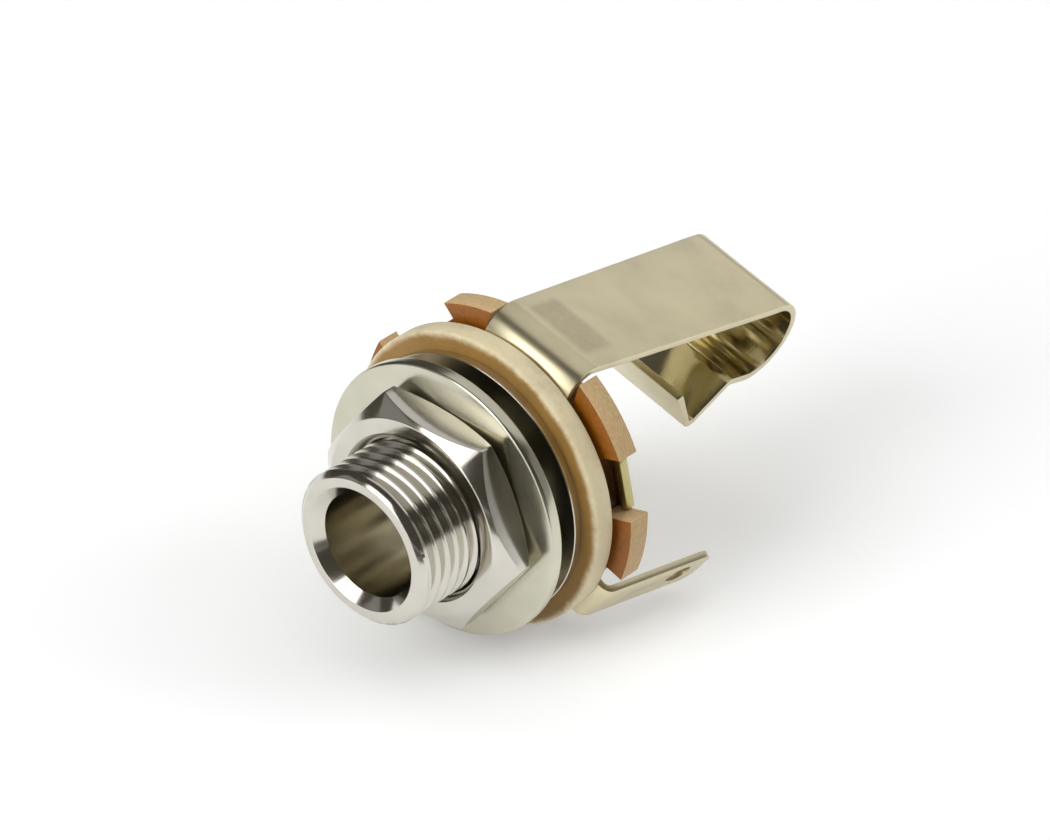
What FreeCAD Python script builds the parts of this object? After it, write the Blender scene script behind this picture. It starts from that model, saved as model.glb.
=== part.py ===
import FreeCAD, Part
import math
import os

import Sketcher
from FreeCAD import Placement, Rotation, Vector

# Quarter-inch output jack, mono, open frame.
# The plug axis is the Y axis. The mouth faces -Y, the contacts run to +Y and Z is up.
# The origin is on the plug axis in the plane of the flange's front face, where the panel sits.
# A clock angle is measured from +Z towards +X, seen along +Y.

SIZES = [
    ("plug_hole_radius", 3.2, "bore for the 6.35 mm plug"),
    ("mouth_bevel_width", 0.45, "how far the lead-in bevel opens the bore"),
    ("mouth_bevel_depth", 0.5, "length of the lead-in bevel"),
    ("mouth_corner_width", 0.4125, "width of the outer corner bevel"),
    ("mouth_corner_length", 0.35, "length of the outer corner bevel"),
    ("thread_wall", 1.5625, "bore to the outside of the 3/8 in thread"),
    ("thread_length", 8.9, "mouth face to flange front"),
    ("flange_setback", 0.15, "flange outside within the contact plates' edge"),
    ("flange_thickness", 0.6, "flange thickness"),
    ("barrel_wall", 1.2, "wall of the barrel behind the flange"),
    ("lip_height", 0.8, "how far the rolled lip stands out"),
    ("lip_thickness", 0.6, "length of the rolled lip"),
    ("lip_rounding", 0.3, "outer corner of the rolled lip"),
    ("nut_width", 12.7, "nut across flats"),
    ("nut_thickness", 2.4, "nut thickness"),
    ("nut_face_inset", 0.25, "corner bevel starts this far inside the flats"),
    ("nut_front_drop", 1.0, "fall of the front corner bevel"),
    ("nut_back_drop", 0.6, "fall of the back corner bevel"),
    ("nut_recess", 0.3875, "countersink at the nut's thread"),
    ("nut_clock_angle", 37.5, "clock angle of one nut corner"),
    ("thread_play", 0.05, "radial play of the nut on the thread"),
    ("washer_radius", 8.45, "flat washer outside"),
    ("washer_thickness", 0.85, "flat washer thickness"),
    ("washer_bevel", 0.15, "bevelled edge of the flat washer"),
    ("washer_play", 0.2, "radial play of the washer on the thread"),
    ("panel_gap", 1.45, "flange front to flat washer"),
    ("ring_overhang", 0.95, "fibre ring outside beyond the contact plates' edge"),
    ("ring_thickness", 1.4, "fibre ring thickness"),
    ("barrel_play", 0.05, "radial play on the barrel"),
    ("sheet", 0.45, "contact sheet thickness"),
    ("plate_radius", 8.2, "round part of the contact plates"),
    ("plate_play", 0.15, "radial play of the tip plate on the hub"),
    ("castle_thickness", 1.5, "castellated washer thickness"),
    ("castle_root_rise", 0.25, "notch floors outside the contact plates"),
    ("castle_block_height", 1.6, "height of the blocks between the notches"),
    ("hub_wall", 1.15, "wall of its hub inside the tip plate"),
    ("spring_notch_drop", 0.3, "its floor below the spring's bend"),
    ("notch_play", 0.2, "side play of the spring in its notch"),
    ("key_notch_drop", 0.45, "floor of the key tab's notch below the plates' edge"),
    ("spare_notch_angle", 317.9, "clock angle of the notch with nothing in it"),
    ("spare_notch_width", 6.75, "width of that notch"),
    ("far_notch_angle", 230.0, "clock angle where the notch at the far side starts"),
    ("far_notch_turn_angle", 34.0, "turn of that notch"),
    ("lug_notch_before_angle", 16.5, "free angle before the tip lug"),
    ("lug_notch_after_angle", 77.0, "free angle after the tip lug"),
    ("arm_clock_angle", 18.2, "clock angle of the tip spring"),
    ("arm_width", 6.4, "width of the tip spring at its bend"),
    ("arm_widening", 0.75, "how much wider the spring is at the fold"),
    ("arm_bend_radius", 1.2, "inside radius of that bend"),
    ("arm_slope_angle", 15.2, "slope of the arm towards the axis"),
    ("arm_length", 19.05, "straight length of the arm"),
    ("arm_even_length", 1.0, "last part of the arm, of one width"),
    ("fold_radius", 2.35, "inside radius of the hairpin fold"),
    ("return_slope_angle", 18.9, "slope of the return leg"),
    ("return_length", 1.35, "straight length of the return leg"),
    ("crease_radius", 0.3, "inside radius of the crease"),
    ("crease_slope_angle", 31.9, "slope of the leg down to the valley"),
    ("valley_leg_length", 2.85, "straight length of that leg"),
    ("valley_radius", 0.35, "inside radius of the valley"),
    ("tail_slope_angle", 60.4, "slope of the tail"),
    ("tail_length", 3.55, "straight length of the tail"),
    ("lug_width", 3.2, "width of a solder lug"),
    ("lug_length", 7.7, "straight length of a solder lug"),
    ("lug_splay_angle", 10.0, "outward slope of a solder lug"),
    ("lug_bend_radius", 0.45, "inside radius of a lug's bend"),
    ("lug_end_flat", 1.4, "straight part across a lug's end"),
    ("eyelet_radius", 0.8, "solder hole radius"),
    ("eyelet_inset", 1.85, "solder hole to the lug's end"),
    ("tip_lug_clock_angle", 128.0, "clock angle of the tip lug"),
    ("tip_lug_bend_rise", 0.8, "tip lug bends this far outside its plate"),
    ("sleeve_lug_clock_angle", 232.0, "clock angle of the sleeve lug"),
    ("sleeve_lug_bend_rise", 0.4, "sleeve lug bends this far outside its plate"),
    ("key_clock_angle", 77.8, "clock angle of the key tab"),
    ("key_width", 3.0, "width of the key tab"),
    ("key_bend_rise", 0.05, "key tab bends this far outside its plate"),
    ("key_bend_radius", 0.2, "inside radius of the key tab's bend"),
    ("key_length", 0.35, "straight length of the key tab"),
    ("key_play_before", 0.61, "side play before the key tab in its notch"),
    ("key_play_after", 0.12, "side play after the key tab"),
]

doc = FreeCAD.newDocument("OutputJack")
sheet = doc.addObject("Spreadsheet::Sheet", "Sizes")


class Term:
    """A length or angle that knows its number and its spreadsheet formula."""

    def __init__(self, number, formula):
        self.number = float(number)
        self.formula = formula

    @staticmethod
    def of(value):
        if isinstance(value, Term):
            return value
        return Term(value, repr(float(value)))

    def __add__(self, other):
        other = Term.of(other)
        return Term(self.number + other.number, "(%s + %s)" % (self.formula, other.formula))

    def __sub__(self, other):
        other = Term.of(other)
        return Term(self.number - other.number, "(%s - %s)" % (self.formula, other.formula))

    def __mul__(self, other):
        other = Term.of(other)
        return Term(self.number * other.number, "(%s * %s)" % (self.formula, other.formula))

    def __truediv__(self, other):
        other = Term.of(other)
        return Term(self.number / other.number, "(%s / %s)" % (self.formula, other.formula))

    def __neg__(self):
        return Term(0, "0") - self

    __radd__ = __add__

    def __rsub__(self, other):
        return Term.of(other) - self

    __rmul__ = __mul__


def sine(angle):
    angle = Term.of(angle)
    return Term(math.sin(math.radians(angle.number)), "sin(%s * 1 deg)" % angle.formula)


def cosine(angle):
    angle = Term.of(angle)
    return Term(math.cos(math.radians(angle.number)), "cos(%s * 1 deg)" % angle.formula)


size = {}
for row, (alias, number, meaning) in enumerate(SIZES, start=1):
    sheet.set("A%d" % row, meaning)
    sheet.set("B%d" % row, str(number))
    sheet.setAlias("B%d" % row, alias)
    size[alias] = Term(number, "Sizes." + alias)
doc.recompute()

# Places along the plug axis, each from the pieces in front of it.
mouth = -size["thread_length"]
washer_back = -size["panel_gap"]
washer_front = washer_back - size["washer_thickness"]
nut_back = washer_front
nut_front = nut_back - size["nut_thickness"]
ring_front = size["flange_thickness"]
ring_back = ring_front + size["ring_thickness"]
tip_plate_middle = ring_back + size["sheet"] / 2
castle_front = ring_back + size["sheet"]
castle_back = castle_front + size["castle_thickness"]
sleeve_plate_middle = castle_back + size["sheet"] / 2
lip_front = castle_back + size["sheet"]
lip_back = lip_front + size["lip_thickness"]
# Radii that follow from the bore, the plates and the walls.
thread_radius = size["plug_hole_radius"] + size["thread_wall"]
mouth_bevel_radius = size["plug_hole_radius"] + size["mouth_bevel_width"]
mouth_face_radius = thread_radius - size["mouth_corner_width"]
barrel_radius = size["plug_hole_radius"] + size["barrel_wall"]
lip_radius = barrel_radius + size["lip_height"]
barrel_hole = barrel_radius + size["barrel_play"]
hub_radius = barrel_hole + size["hub_wall"]
flange_radius = size["plate_radius"] - size["flange_setback"]
ring_radius = size["plate_radius"] + size["ring_overhang"]
strip_start = (size["plate_radius"] + hub_radius) / 2
castle_root = size["plate_radius"] + size["castle_root_rise"]
castle_radius = castle_root + size["castle_block_height"]
nut_hole = thread_radius + size["thread_play"]
nut_recess_radius = nut_hole + size["nut_recess"]
nut_face_radius = size["nut_width"] / 2 - size["nut_face_inset"]


def new_body(name, clock=None):
    """A body whose own Z direction is turned to the clock angle."""
    body = doc.addObject("PartDesign::Body", name)
    body.Label = name
    if clock is not None:
        body.Placement = Placement(Vector(0, 0, 0), Rotation(Vector(0, 1, 0), clock.number))
        body.setExpression("Placement.Rotation.Angle", clock.formula)
    return body


def new_sketch(body, name, plane):
    sketch = body.newObject("Sketcher::SketchObject", name)
    origin_planes = [part for part in body.Origin.OriginFeatures if part.Role == plane]
    sketch.AttachmentSupport = [(origin_planes[0], "")]
    sketch.MapMode = "FlatFace"
    return sketch


def pin_point(sketch, geometry, point, across, up):
    """Ties one point of the sketch to two lengths from its origin."""
    for kind, length in (("DistanceX", across), ("DistanceY", up)):
        number = sketch.addConstraint(Sketcher.Constraint(kind, -1, 1, geometry, point, length.number))
        sketch.setExpression("Constraints[%d]" % number, length.formula)


def step_along_side(corner, other, distance):
    """The point at a distance from a square corner, on its side towards another corner."""
    across, up = corner[0], corner[1]
    if abs(other[0].number - across.number) < 1e-9:
        return (across, up + distance if other[1].number > up.number else up - distance)
    return (across + distance if other[0].number > across.number else across - distance, up)


def outline(sketch, corners):
    """A closed outline of straight sides. A corner's third value, if it has one, rounds it."""
    corners = [tuple(Term.of(value) for value in corner) for corner in corners]
    count = len(corners)
    ends = []
    for index, corner in enumerate(corners):
        if len(corner) == 2:
            ends.append((corner, corner))
        else:
            before = step_along_side(corner, corners[index - 1], corner[2])
            after = step_along_side(corner, corners[(index + 1) % count], corner[2])
            ends.append((before, after))
    pieces = []
    for index in range(count):
        follow = (index + 1) % count
        start, end = ends[index][1], ends[follow][0]
        line = Part.LineSegment(Vector(start[0].number, start[1].number, 0),
                                Vector(end[0].number, end[1].number, 0))
        pieces.append((sketch.addGeometry(line), 1, 2, start))
        if len(corners[follow]) == 3:
            pieces.append(corner_arc(sketch, corners[follow], ends[follow]))
    for piece, after in zip(pieces, pieces[1:] + pieces[:1]):
        sketch.addConstraint(Sketcher.Constraint("Coincident", piece[0], piece[2], after[0], after[1]))
    for number, start_point, end_point, start in pieces:
        pin_point(sketch, number, start_point, start[0], start[1])


def corner_arc(sketch, corner, ends):
    """The quarter arc that rounds one square corner."""
    before, after = ends
    rounding = corner[2]
    middle = Vector(before[0].number + after[0].number - corner[0].number,
                    before[1].number + after[1].number - corner[1].number, 0)
    first = math.atan2(before[1].number - middle.y, before[0].number - middle.x)
    second = math.atan2(after[1].number - middle.y, after[0].number - middle.x)
    turn = (second - first) % (2 * math.pi)
    forward = turn < math.pi
    curve = Part.Circle(middle, Vector(0, 0, 1), rounding.number)
    low, high = (first, second) if forward else (second, first)
    number = sketch.addGeometry(Part.ArcOfCircle(curve, low, high))
    tie = sketch.addConstraint(Sketcher.Constraint("Radius", number, rounding.number))
    sketch.setExpression("Constraints[%d]" % tie, rounding.formula)
    return (number, 1, 2, before) if forward else (number, 2, 1, before)


def circle(sketch, radius):
    """A circle round the sketch's origin."""
    number = sketch.addGeometry(Part.Circle(Vector(0, 0, 0), Vector(0, 0, 1), radius.number))
    sketch.addConstraint(Sketcher.Constraint("Coincident", number, 3, -1, 1))
    tie = sketch.addConstraint(Sketcher.Constraint("Radius", number, radius.number))
    sketch.setExpression("Constraints[%d]" % tie, radius.formula)


def turned(body, name, corners):
    """A solid turned about the plug axis from corners given as radius and place along the axis."""
    sketch = new_sketch(body, name + "Profile", "XY_Plane")
    outline(sketch, corners)
    feature = body.newObject("PartDesign::Revolution", name)
    feature.Profile = sketch
    feature.ReferenceAxis = (sketch, ["V_Axis"])
    feature.Angle = 360.0
    return feature


def turned_cut(body, name, outlines):
    """Material taken off by turning each outline about the plug axis."""
    sketch = new_sketch(body, name + "Profile", "XY_Plane")
    for corners in outlines:
        outline(sketch, corners)
    before = cut_volume(body)
    feature = body.newObject("PartDesign::Groove", name)
    feature.Profile = sketch
    feature.ReferenceAxis = (sketch, ["V_Axis"])
    feature.Angle = 360.0
    doc.recompute()
    check_cut(feature, before)
    return feature


def cut_volume(body):
    doc.recompute()
    return body.Shape.Volume


def check_cut(feature, before):
    if not feature.Shape.Volume < before - 0.01:
        raise RuntimeError(feature.Name + " takes nothing off")


def lean(sketch, place, angle):
    """Puts a sketch at a place along and out from the plug axis, leaning over to the rear."""
    sketch.AttachmentOffset = Placement(Vector(0, place[0].number, place[1].number),
                                        Rotation(Vector(-1, 0, 0), angle.number))
    sketch.setExpression("AttachmentOffset.Base.y", place[0].formula)
    sketch.setExpression("AttachmentOffset.Base.z", place[1].formula)
    if angle.number:
        sketch.setExpression("AttachmentOffset.Rotation.Angle", angle.formula)


def bent_strip(body, name, start, width, legs):
    """Sheet of one width that follows straight legs joined by bends.

    The path lies in the body's YZ plane. It starts at a place along the plug axis and a height
    out from it. Each leg is (heading, length), where 90 degrees is straight out, and each bend
    between two legs is its inside radius and the side that it turns to.
    """
    path = new_sketch(body, name + "Path", "YZ_Plane")
    along = start[0].number
    out = start[1].number
    pieces = []
    for entry in legs:
        if entry[0] == "leg":
            heading = math.radians(entry[1].number)
            end = (along + entry[2].number * math.cos(heading), out + entry[2].number * math.sin(heading))
            number = path.addGeometry(Part.LineSegment(Vector(along, out, 0), Vector(end[0], end[1], 0)))
            pieces.append(("leg", number, entry))
            along, out = end
            last_heading = entry[1].number
        else:
            side = entry[2]
            radius = entry[1].number + size["sheet"].number / 2
            next_heading = legs[legs.index(entry) + 1][1].number
            sweep = (next_heading - last_heading) * side % 360.0
            begin = math.radians(last_heading - 90.0 * side)
            centre = (along - radius * math.cos(begin), out - radius * math.sin(begin))
            finish = begin + math.radians(sweep) * side
            curve = Part.Circle(Vector(centre[0], centre[1], 0), Vector(0, 0, 1), radius)
            low, high = (begin, finish) if side > 0 else (finish, begin)
            number = path.addGeometry(Part.ArcOfCircle(curve, low, high))
            pieces.append(("bend", number, entry))
            along = centre[0] + radius * math.cos(finish)
            out = centre[1] + radius * math.sin(finish)
    for before, after in zip(pieces, pieces[1:]):
        leaving = 2 if before[0] == "leg" or before[2][2] > 0 else 1
        entering = 1 if after[0] == "leg" or after[2][2] > 0 else 2
        path.addConstraint(Sketcher.Constraint("Tangent", before[1], leaving, after[1], entering))
    pin_point(path, pieces[0][1], 1, start[0], start[1])
    for kind, number, entry in pieces:
        if kind == "leg":
            tie = path.addConstraint(Sketcher.Constraint("Angle", number, math.radians(entry[1].number)))
            path.setExpression("Constraints[%d]" % tie, entry[1].formula)
            tie = path.addConstraint(Sketcher.Constraint("Distance", number, entry[2].number))
            path.setExpression("Constraints[%d]" % tie, entry[2].formula)
        else:
            radius = entry[1] + size["sheet"] / 2
            tie = path.addConstraint(Sketcher.Constraint("Radius", number, radius.number))
            path.setExpression("Constraints[%d]" % tie, radius.formula)
    section = new_sketch(body, name + "Section", "XY_Plane")
    lean(section, start, 90 - legs[0][1])
    half = width / 2
    edge = size["sheet"] / 2
    outline(section, [(-half, -edge), (half, -edge), (half, edge), (-half, edge)])
    feature = body.newObject("PartDesign::AdditivePipe", name)
    feature.Profile = section
    feature.Spine = path
    doc.recompute()
    return feature


def tapered_strip(body, name, start, slope, start_width, end_width, length):
    """A straight stretch of sheet that changes its width evenly."""
    sketch = new_sketch(body, name + "Outline", "XY_Plane")
    lean(sketch, start, slope)
    outline(sketch, [
        (-start_width / 2, Term.of(0)),
        (start_width / 2, Term.of(0)),
        (end_width / 2, length),
        (-end_width / 2, length),
    ])
    feature = body.newObject("PartDesign::Pad", name)
    feature.Profile = sketch
    feature.SideType = "Symmetric"
    feature.Length = size["sheet"].number
    feature.setExpression("Length", size["sheet"].formula)
    doc.recompute()
    return feature


def plate(body, name, hole, middle):
    """The round plate of a contact, in the middle plane given."""
    front = middle - size["sheet"] / 2
    back = middle + size["sheet"] / 2
    outer = size["plate_radius"]
    return turned(body, name, [(hole, front), (outer, front), (outer, back), (hole, back)])


def lug(name, clock, middle, bend_height):
    """A solder lug: a strip out of the plate, bent to the rear, with a rounded end and an eyelet."""
    body = new_body(name, clock)
    splay = size["lug_splay_angle"]
    radius = size["lug_bend_radius"] + size["sheet"] / 2
    bent_strip(body, name + "_strip", (middle, strip_start), size["lug_width"], [
        ("leg", Term.of(90.0), bend_height - strip_start),
        ("bend", size["lug_bend_radius"], -1),
        ("leg", splay, size["lug_length"]),
    ])
    strip = body.Tip
    sheet_edge = size["sheet"].number
    rearmost = max(vertex.Point.y for vertex in strip.Shape.Vertexes)
    corners = []
    for index, edge in enumerate(strip.Shape.Edges, start=1):
        if abs(edge.Length - sheet_edge) < 1e-6 and edge.CenterOfMass.y > rearmost - sheet_edge:
            corners.append("Edge%d" % index)
    rounded = body.newObject("PartDesign::Fillet", name + "_end")
    rounded.Base = (strip, corners)
    corner = (size["lug_width"] - size["lug_end_flat"]) / 2
    rounded.Radius = corner.number
    rounded.setExpression("Radius", corner.formula)
    before = cut_volume(body)
    eyelet = new_sketch(body, name + "_eyelet_circle", "XY_Plane")
    travel = size["lug_length"] - size["eyelet_inset"]
    along = middle + radius - radius * sine(splay) + travel * cosine(splay)
    out = bend_height + radius * cosine(splay) + travel * sine(splay)
    eyelet.AttachmentOffset = Placement(Vector(0, along.number, out.number),
                                        Rotation(Vector(1, 0, 0), splay.number))
    eyelet.setExpression("AttachmentOffset.Base.y", along.formula)
    eyelet.setExpression("AttachmentOffset.Base.z", out.formula)
    eyelet.setExpression("AttachmentOffset.Rotation.Angle", splay.formula)
    circle(eyelet, size["eyelet_radius"])
    hole = body.newObject("PartDesign::Pocket", name + "_eyelet")
    hole.Profile = eyelet
    hole.SideType = "Symmetric"
    hole.Length = 4 * size["sheet"].number
    hole.setExpression("Length", (size["sheet"] * 4).formula)
    doc.recompute()
    check_cut(hole, before)
    return body


# Bushing: one turned brass piece with lead-in bevel, thread, flange, barrel and rolled rear lip.
bushing = new_body("bushing")
turned(bushing, "Turning", [
    (size["plug_hole_radius"], mouth + size["mouth_bevel_depth"]),
    (mouth_bevel_radius, mouth),
    (mouth_face_radius, mouth),
    (thread_radius, mouth + size["mouth_corner_length"]),
    (thread_radius, Term.of(0)),
    (flange_radius, Term.of(0)),
    (flange_radius, ring_front),
    (barrel_radius, ring_front),
    (barrel_radius, lip_front),
    (lip_radius, lip_front),
    (lip_radius, lip_back, size["lip_rounding"]),
    (size["plug_hole_radius"], lip_back, size["lip_rounding"]),
])

# Hex nut: six flats, a turned corner bevel on both faces and a threaded hole with countersinks.
hex_nut = new_body("hex_nut", size["nut_clock_angle"])
hexagon = new_sketch(hex_nut, "Hexagon", "XZ_Plane")
hexagon.AttachmentOffset = Placement(Vector(0, 0, -nut_front.number), Rotation())
hexagon.setExpression("AttachmentOffset.Base.z", (-nut_front).formula)
corner_radius = size["nut_width"] / Term(math.sqrt(3.0), "sqrt(3)")
half_flat = size["nut_width"] / 2
outline(hexagon, [
    (Term.of(0), corner_radius),
    (half_flat, corner_radius / 2),
    (half_flat, -corner_radius / 2),
    (Term.of(0), -corner_radius),
    (-half_flat, -corner_radius / 2),
    (-half_flat, corner_radius / 2),
])
block = hex_nut.newObject("PartDesign::Pad", "Block")
block.Profile = hexagon
block.Length = size["nut_thickness"].number
block.setExpression("Length", size["nut_thickness"].formula)
block.Reversed = True
past = corner_radius + 1
front_slope = size["nut_front_drop"] / (corner_radius - nut_face_radius)
back_slope = size["nut_back_drop"] / (corner_radius - nut_face_radius)
front_fall = (past - nut_face_radius) * front_slope
back_fall = (past - nut_face_radius) * back_slope
turned_cut(hex_nut, "CornerBevels", [
    [(nut_face_radius, nut_front), (past, nut_front), (past, nut_front + front_fall)],
    [(nut_face_radius, nut_back), (past, nut_back - back_fall), (past, nut_back)],
])
turned_cut(hex_nut, "ThreadedHole", [[
    (Term.of(0), nut_front),
    (nut_recess_radius, nut_front),
    (nut_hole, nut_front + size["nut_recess"]),
    (nut_hole, nut_back - size["nut_recess"]),
    (nut_recess_radius, nut_back),
    (Term.of(0), nut_back),
]])

# Flat washer: a punched ring, loose on the thread behind the nut, with its outer edges broken.
flat_washer = new_body("flat_washer")
washer_hole = thread_radius + size["washer_play"]
turned(flat_washer, "Ring", [
    (washer_hole, washer_front),
    (size["washer_radius"] - size["washer_bevel"], washer_front),
    (size["washer_radius"], washer_front + size["washer_bevel"]),
    (size["washer_radius"], washer_back - size["washer_bevel"]),
    (size["washer_radius"] - size["washer_bevel"], washer_back),
    (washer_hole, washer_back),
])

# Front insulator: a plain ring of vulcanised fibre between the flange and the tip plate.
fibre_ring = new_body("fibre_ring")
turned(fibre_ring, "Ring", [
    (barrel_hole, ring_front),
    (ring_radius, ring_front),
    (ring_radius, ring_back),
    (barrel_hole, ring_back),
])

# Castellated washer: moulded insulator whose hub keeps the tip plate off the barrel and whose
# notches hold the spring, the key tab and the lug in line.
castellated_washer = new_body("castellated_washer")
turned(castellated_washer, "DiscAndHub", [
    (barrel_hole, ring_back),
    (hub_radius, ring_back),
    (hub_radius, castle_front),
    (castle_radius, castle_front),
    (castle_radius, castle_back),
    (barrel_hole, castle_back),
])


def straight_notch(name, clock, floor, before_side, after_side):
    """A notch with parallel sides and a flat floor, cut through the washer's rim."""
    sketch = new_sketch(castellated_washer, name + "Outline", "XZ_Plane")
    sketch.AttachmentOffset = Placement(Vector(0, 0, 0), Rotation(Vector(0, 0, 1), -clock.number))
    sketch.setExpression("AttachmentOffset.Rotation.Angle", (-clock).formula)
    top = castle_radius + 1
    outline(sketch, [(-before_side, floor), (after_side, floor), (after_side, top), (-before_side, top)])
    before = cut_volume(castellated_washer)
    feature = castellated_washer.newObject("PartDesign::Pocket", name)
    feature.Profile = sketch
    feature.Type = "ThroughAll"
    doc.recompute()
    check_cut(feature, before)


def round_notch(name, start, turn):
    """A notch with radial sides and a round floor, turned out of the washer's rim."""
    sketch = new_sketch(castellated_washer, name + "Profile", "YZ_Plane")
    sketch.AttachmentOffset = Placement(Vector(0, 0, 0), Rotation(Vector(1, 0, 0), start.number))
    sketch.setExpression("AttachmentOffset.Rotation.Angle", start.formula)
    top = castle_radius + 1
    front = castle_front - size["sheet"]
    back = castle_back + size["sheet"]
    outline(sketch, [(front, castle_root), (back, castle_root), (back, top), (front, top)])
    before = cut_volume(castellated_washer)
    feature = castellated_washer.newObject("PartDesign::Groove", name)
    feature.Profile = sketch
    feature.ReferenceAxis = (sketch, ["H_Axis"])
    feature.Angle = turn.number
    feature.setExpression("Angle", turn.formula)
    doc.recompute()
    check_cut(feature, before)


arm_side = size["arm_width"] / 2 + size["notch_play"]
spare_side = size["spare_notch_width"] / 2
key_side = size["key_width"] / 2
spring_floor = size["plate_radius"] - size["spring_notch_drop"]
key_floor = size["plate_radius"] - size["key_notch_drop"]
straight_notch("SpringNotch", size["arm_clock_angle"], spring_floor, arm_side, arm_side)
straight_notch("KeyNotch", size["key_clock_angle"], key_floor,
               key_side + size["key_play_before"], key_side + size["key_play_after"])
straight_notch("SpareNotch", size["spare_notch_angle"], castle_root, spare_side, spare_side)
round_notch("LugNotch", size["tip_lug_clock_angle"] - size["lug_notch_before_angle"],
            size["lug_notch_before_angle"] + size["lug_notch_after_angle"])
round_notch("FarNotch", size["far_notch_angle"], size["far_notch_turn_angle"])

# Tip contact: one folded sheet. A round plate lies on the fibre ring, the spring arm bends off it
# to the rear and widens, folds back under itself and ends in the valley that grips the plug's tip.
spring = new_body("tip_spring", size["arm_clock_angle"])
plate(spring, "TipPlate", hub_radius + size["plate_play"], tip_plate_middle)
slope = size["arm_slope_angle"]
bent_strip(spring, "ArmBend", (tip_plate_middle, strip_start), size["arm_width"], [
    ("leg", Term.of(90.0), size["plate_radius"] - strip_start),
    ("bend", size["arm_bend_radius"], -1),
    ("leg", -slope, size["sheet"]),
])
bend_radius = size["arm_bend_radius"] + size["sheet"] / 2
taper_length = size["arm_length"] - size["arm_even_length"]
taper_start = (tip_plate_middle + bend_radius + bend_radius * sine(slope),
               size["plate_radius"] + bend_radius * cosine(slope))
taper_end = (taper_start[0] + taper_length * cosine(slope), taper_start[1] - taper_length * sine(slope))
fold_width = size["arm_width"] + size["arm_widening"]
tapered_strip(spring, "ArmTaper", taper_start, slope, size["arm_width"], fold_width, taper_length)
bent_strip(spring, "ArmFold", taper_end, fold_width, [
    ("leg", -slope, size["arm_even_length"]),
    ("bend", size["fold_radius"], -1),
    ("leg", 180 - size["return_slope_angle"], size["return_length"]),
    ("bend", size["crease_radius"], 1),
    ("leg", 180 + size["crease_slope_angle"], size["valley_leg_length"]),
    ("bend", size["valley_radius"], -1),
    ("leg", 180 - size["tail_slope_angle"], size["tail_length"]),
])
tip_lug = lug("tip_lug", size["tip_lug_clock_angle"], tip_plate_middle,
              size["plate_radius"] + size["tip_lug_bend_rise"])
tip_contact = doc.addObject("Part::MultiFuse", "tip_contact")
tip_contact.Label = "tip_contact"
tip_contact.Shapes = [spring, tip_lug]
tip_contact.Refine = True

# Sleeve terminal: a round plate under the rolled lip, with a key tab bent forward into its notch
# and a solder lug bent to the rear.
key_plate = new_body("sleeve_plate", size["key_clock_angle"])
plate(key_plate, "SleevePlate", barrel_hole, sleeve_plate_middle)
bent_strip(key_plate, "KeyTab", (sleeve_plate_middle, strip_start), size["key_width"], [
    ("leg", Term.of(90.0), size["plate_radius"] + size["key_bend_rise"] - strip_start),
    ("bend", size["key_bend_radius"], 1),
    ("leg", Term.of(180.0), size["key_length"]),
])
sleeve_lug = lug("sleeve_lug", size["sleeve_lug_clock_angle"], sleeve_plate_middle,
                 size["plate_radius"] + size["sleeve_lug_bend_rise"])
sleeve_terminal = doc.addObject("Part::MultiFuse", "sleeve_terminal")
sleeve_terminal.Label = "sleeve_terminal"
sleeve_terminal.Shapes = [key_plate, sleeve_lug]
sleeve_terminal.Refine = True

doc.recompute()

PIECES = [bushing, hex_nut, flat_washer, fibre_ring, tip_contact, castellated_washer, sleeve_terminal]

for item in doc.Objects:
    if "Invalid" in item.State or "Error" in item.State:
        raise RuntimeError("%s failed: %s" % (item.Name, item.State))
for piece in PIECES:
    if piece.Shape.isNull() or not piece.Shape.isValid() or len(piece.Shape.Solids) != 1:
        raise RuntimeError("%s has no single valid solid" % piece.Label)

os.makedirs("parts", exist_ok=True)
for piece in PIECES:
    piece.Shape.exportStep(os.path.join("parts", piece.Label + ".step"))
    box = piece.Shape.BoundBox
    print("%-20s volume %8.2f  X %.2f..%.2f  Y %.2f..%.2f  Z %.2f..%.2f" % (
        piece.Label, piece.Shape.Volume, box.XMin, box.XMax, box.YMin, box.YMax, box.ZMin, box.ZMax))
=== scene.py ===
"""Quarter-inch output jack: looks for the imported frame, and a small studio to see it in."""

from collections import namedtuple
from functools import partial
from math import asin, atan2, ceil, copysign, cos, degrees, hypot, pi, radians, sin, sqrt, tan, tau

import bmesh
import bpy
from bpy.props import FloatProperty, FloatVectorProperty, PointerProperty
from bpy.types import Operator, Panel, PropertyGroup
from mathutils import Matrix, Vector


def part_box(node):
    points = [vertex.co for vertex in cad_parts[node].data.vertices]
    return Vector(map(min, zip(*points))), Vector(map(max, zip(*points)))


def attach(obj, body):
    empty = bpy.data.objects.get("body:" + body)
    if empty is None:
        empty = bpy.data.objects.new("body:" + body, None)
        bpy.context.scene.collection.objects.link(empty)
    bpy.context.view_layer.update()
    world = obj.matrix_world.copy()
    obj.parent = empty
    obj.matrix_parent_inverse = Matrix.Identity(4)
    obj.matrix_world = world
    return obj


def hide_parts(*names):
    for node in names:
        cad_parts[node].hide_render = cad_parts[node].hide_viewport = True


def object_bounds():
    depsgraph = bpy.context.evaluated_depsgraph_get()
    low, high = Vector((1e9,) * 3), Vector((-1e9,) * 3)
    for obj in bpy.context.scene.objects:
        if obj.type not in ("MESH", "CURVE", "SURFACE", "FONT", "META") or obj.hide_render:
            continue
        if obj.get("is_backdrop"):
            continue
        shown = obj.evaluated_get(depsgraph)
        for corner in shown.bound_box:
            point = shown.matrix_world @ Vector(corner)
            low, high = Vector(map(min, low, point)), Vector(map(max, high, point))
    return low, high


bl_info = {
    "name": "Quarter-inch output jack",
    "version": (1, 0, 0),
    "blender": (4, 5, 0),
    "location": "3D View > Sidebar > Output Jack",
    "description": "Thread, folded contacts, insulators and finishes of a panel-mount output jack",
    "category": "Object",
}

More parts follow.
